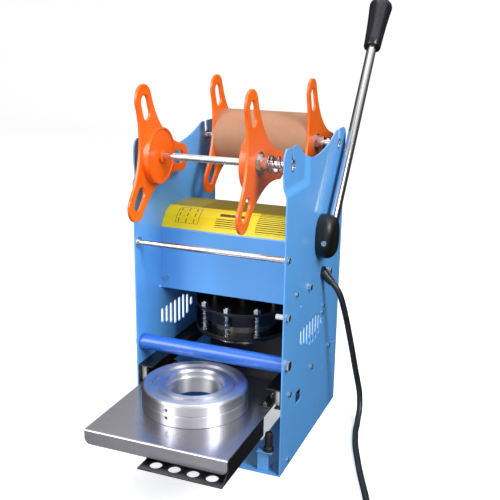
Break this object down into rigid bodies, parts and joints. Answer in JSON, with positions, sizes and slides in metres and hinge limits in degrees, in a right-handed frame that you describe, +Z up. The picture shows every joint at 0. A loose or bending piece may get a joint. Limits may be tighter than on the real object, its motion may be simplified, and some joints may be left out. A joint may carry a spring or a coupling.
{
  "type": "cup sealing machine",
  "caption": "Hand-lever cup sealing machine with side panels, film reels, heated cutting head and a sliding cup tray.",
  "frame": {"origin": "on the resting surface, midway between the side panels, in line with their front edges", "axes": "+X to the machine's right (the lever side), +Y to the back, +Z up"},
  "size_m": [0.3851, 0.6129, 0.6432],
  "materials": {
    "blue_paint": "satin sky-blue powder coat on steel sheet",
    "black_paint": "semi-gloss black powder coat",
    "printed_label": "yellow and green printed vinyl sheet with plain bands",
    "screw_steel": "zinc plated steel",
    "polished_steel": "ground and polished steel",
    "chrome": "bright chrome plate",
    "mirror_steel": "polished stainless sheet, near mirror with fine scratches",
    "dark_steel": "machined carbon steel",
    "blade_steel": "ground tool steel",
    "spring_steel": "drawn spring wire",
    "turned_aluminium": "satin turned aluminium",
    "cast_aluminium": "machined cast aluminium, slightly heat tinted",
    "bush_brass": "sintered bronze",
    "orange_plastic": "moulded orange plastic",
    "black_plastic": "moulded black plastic",
    "cream_plastic": "moulded pale plastic",
    "white_nylon": "white nylon",
    "roller_blue": "smooth blue coated roller",
    "grip_black": "satin black grip",
    "black_rubber": "black rubber",
    "cord_black": "black flexible cord sheath",
    "core_cardboard": "spirally wound brown cardboard tube"
  },
  "bodies": {
    "frame": {"base_plate": "blue_paint", "side_panel_left": "blue_paint", "side_panel_right": "blue_paint", "head_cover": "blue_paint", "cover_label": "printed_label", "small_screws": "screw_steel", "panel_bolts": "screw_steel", "front_guide_rod": "polished_steel", "guide_bridge": "black_paint", "rail_left": "black_paint", "rail_right": "black_paint", "main_bushes": "bush_brass", "stop_bracket": "blue_paint", "stop_bumper": "black_rubber", "cord_gland": "black_plastic", "power_cord": "cord_black", "cord_coil": "cord_black", "power_plug": "black_plastic", "thermostat_body": "cream_plastic", "switch_body": "black_plastic", "roller_axle": "polished_steel", "back_plate": "black_paint", "film_pin": "white_nylon"},
    "head": {"yoke": "dark_steel", "guide_posts": "polished_steel", "head_plate": "black_paint", "heat_shield": "black_paint", "heater_block": "cast_aluminium", "heating_element": "dark_steel", "cutter_carrier": "black_paint", "cutter_ring": "blade_steel", "spring_bolts": "screw_steel", "head_springs": "spring_steel", "return_springs": "spring_steel"},
    "lever": {"main_shaft": "polished_steel", "cam_disc": "dark_steel", "lever_hub": "black_paint", "hub_screw": "screw_steel", "lever_rod": "chrome", "lever_grip": "grip_black"},
    "tray": {"tray_plate": "mirror_steel", "tray_skirt": "black_paint", "slide_plates": "black_paint", "glide_shoes": "white_nylon", "tray_screws": "screw_steel", "lower_ring": "turned_aluminium"},
    "ring": {"upper_ring": "turned_aluminium"},
    "front_reel": {"front_reel_shaft": "polished_steel", "front_flange_left": "orange_plastic", "front_flange_right": "orange_plastic", "front_lock_nuts": "screw_steel", "front_reel_spring": "spring_steel"},
    "rear_reel": {"rear_reel_shaft": "polished_steel", "rear_flange_left": "orange_plastic", "rear_flange_right": "orange_plastic", "rear_lock_nuts": "screw_steel", "film_core": "core_cardboard"},
    "roller": {"film_roller": "roller_blue"},
    "rocker": {"switch_rocker": "black_plastic"},
    "knob": {"thermostat_knob": "black_plastic"}
  },
  "joints": [
    {"name": "lever_swing", "type": "hinge", "parent": "frame", "child": "lever", "pos_m": [0, 0.15, 0.304], "axis": [1, 0, 0], "range_deg": [0, 82]},
    {"name": "head_slide", "type": "slide", "parent": "frame", "child": "head", "axis": [0, 0, -1], "range_m": [0, 0.0151], "deforming": ["return_springs"]},
    {"name": "tray_slide", "type": "slide", "parent": "frame", "child": "tray", "axis": [0, 1, 0], "range_m": [0, 0.172]},
    {"name": "ring_lift", "type": "slide", "parent": "tray", "child": "ring", "axis": [0, 0, -1], "range_m": [-0.0095, 0]},
    {"name": "front_reel_turn", "type": "hinge", "parent": "frame", "child": "front_reel", "pos_m": [0, 0.031, 0.4275], "axis": [1, 0, 0], "continuous": true},
    {"name": "rear_reel_turn", "type": "hinge", "parent": "frame", "child": "rear_reel", "pos_m": [0, 0.233, 0.43], "axis": [1, 0, 0], "continuous": true},
    {"name": "roller_turn", "type": "hinge", "parent": "frame", "child": "roller", "pos_m": [0, 0.014, 0.161], "axis": [1, 0, 0], "continuous": true},
    {"name": "switch_rock", "type": "hinge", "parent": "frame", "child": "rocker", "pos_m": [-0.1085, 0.165, 0.265], "axis": [0, 0, 1], "range_deg": [0, 12]},
    {"name": "knob_turn", "type": "hinge", "parent": "frame", "child": "knob", "pos_m": [-0.11, 0.11, 0.275], "axis": [-1, 0, 0], "range_deg": [0, 270]}
  ],
  "couplings": [
    {"joint": "head_slide", "follows": "lever_swing", "m_per_rad": 0.01048}
  ]
}
